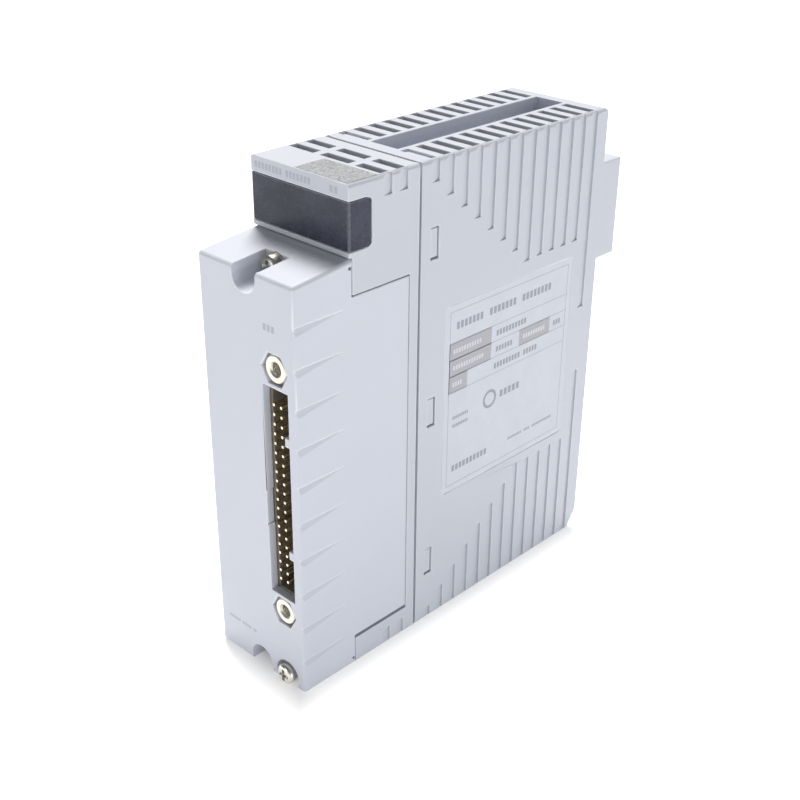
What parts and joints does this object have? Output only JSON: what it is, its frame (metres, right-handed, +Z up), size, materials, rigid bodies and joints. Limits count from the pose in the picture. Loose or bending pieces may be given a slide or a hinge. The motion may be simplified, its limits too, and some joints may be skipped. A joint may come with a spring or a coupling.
{
  "type": "controller output module",
  "caption": "Narrow upright controller output module with vented housings, a smoked status window and a screwed-on cable adapter with a pin header.",
  "frame": {"origin": "on the floor plane, under the middle of the whole object's box", "axes": "+Z up, -Y towards the cable side, +X towards the side with the rating label"},
  "size_m": [0.0328, 0.123, 0.13],
  "materials": {
    "housing_plastic": "fine satin moulding, pale lavender grey",
    "adapter_plastic": "fine satin moulding, pale lavender grey",
    "smoked_window": "smoked clear plastic",
    "black_plastic": "glass-filled connector plastic",
    "header_plastic": "glass-filled brown-grey moulding",
    "connector_grey": "glass-filled connector plastic",
    "led_lens": "diffused lens",
    "circuit_board": "green solder mask",
    "grey_label": "printed grey film",
    "rating_label": "printed pale film",
    "nickel_plate": "nickel plate",
    "gold_plate": "gold flash",
    "brass": "turned",
    "component_black": "moulded package",
    "can_aluminium": "drawn can"
  },
  "bodies": {
    "module": {"rear_housing": "housing_plastic", "front_housing": "housing_plastic", "display_window": "smoked_window", "indicator_carrier": "black_plastic", "status_leds": "led_lens", "display_board": "circuit_board", "top_label": "grey_label", "rating_label": "rating_label", "main_board": "circuit_board", "output_board": "circuit_board", "board_spacers": "nickel_plate", "board_screws": "nickel_plate", "transformers": "component_black", "capacitors": "can_aluminium", "processor_chips": "component_black", "isolator_chips": "component_black", "board_link": "black_plastic", "front_receptacle": "black_plastic", "receptacle_contacts": "gold_plate", "screw_inserts": "brass", "backplane_connector": "connector_grey", "backplane_contacts": "gold_plate"},
    "adapter": {"adapter_housing": "adapter_plastic", "adapter_back_cover": "adapter_plastic", "adapter_board": "circuit_board", "header_insulator": "header_plastic", "header_pins": "gold_plate", "jack_nuts": "nickel_plate", "adapter_plug": "black_plastic", "plug_contacts": "gold_plate", "ground_plate": "nickel_plate"},
    "upper_retainer": {"upper_washer": "nickel_plate"},
    "upper_fixing": {"upper_screw": "nickel_plate"},
    "lower_retainer": {"lower_washer": "nickel_plate"},
    "lower_fixing": {"lower_screw": "nickel_plate"},
    "ground_stack": {"ground_washers": "nickel_plate"},
    "ground_fixing": {"ground_screw": "nickel_plate"}
  },
  "joints": [
    {"name": "adapter_pull", "type": "slide", "parent": "module", "child": "adapter", "axis": [0, -1, 0], "range_m": [0, 0.03]},
    {"name": "upper_screw_travel", "type": "slide", "parent": "adapter", "child": "upper_retainer", "axis": [0, -1, 0], "range_m": [0, 0.006]},
    {"name": "upper_screw_turn", "type": "hinge", "parent": "upper_retainer", "child": "upper_fixing", "pos_m": [0, -0.0529, 0.1092], "axis": [0, -1, 0], "range_deg": [0, 4321]},
    {"name": "lower_screw_travel", "type": "slide", "parent": "adapter", "child": "lower_retainer", "axis": [0, -1, 0], "range_m": [0, 0.006]},
    {"name": "lower_screw_turn", "type": "hinge", "parent": "lower_retainer", "child": "lower_fixing", "pos_m": [0, -0.0529, 0.0031], "axis": [0, -1, 0], "range_deg": [0, 4321]},
    {"name": "ground_screw_travel", "type": "slide", "parent": "adapter", "child": "ground_stack", "axis": [0, -1, 0], "range_m": [0, 0.005]},
    {"name": "ground_screw_turn", "type": "hinge", "parent": "ground_stack", "child": "ground_fixing", "pos_m": [0.01, -0.0615, 0.0034], "axis": [0, -1, 0], "range_deg": [0, 3601]}
  ],
  "couplings": [
    {"joint": "upper_screw_turn", "follows": "upper_screw_travel", "rad_per_m": 12566},
    {"joint": "lower_screw_turn", "follows": "lower_screw_travel", "rad_per_m": 12566},
    {"joint": "ground_screw_turn", "follows": "ground_screw_travel", "rad_per_m": 12566}
  ]
}
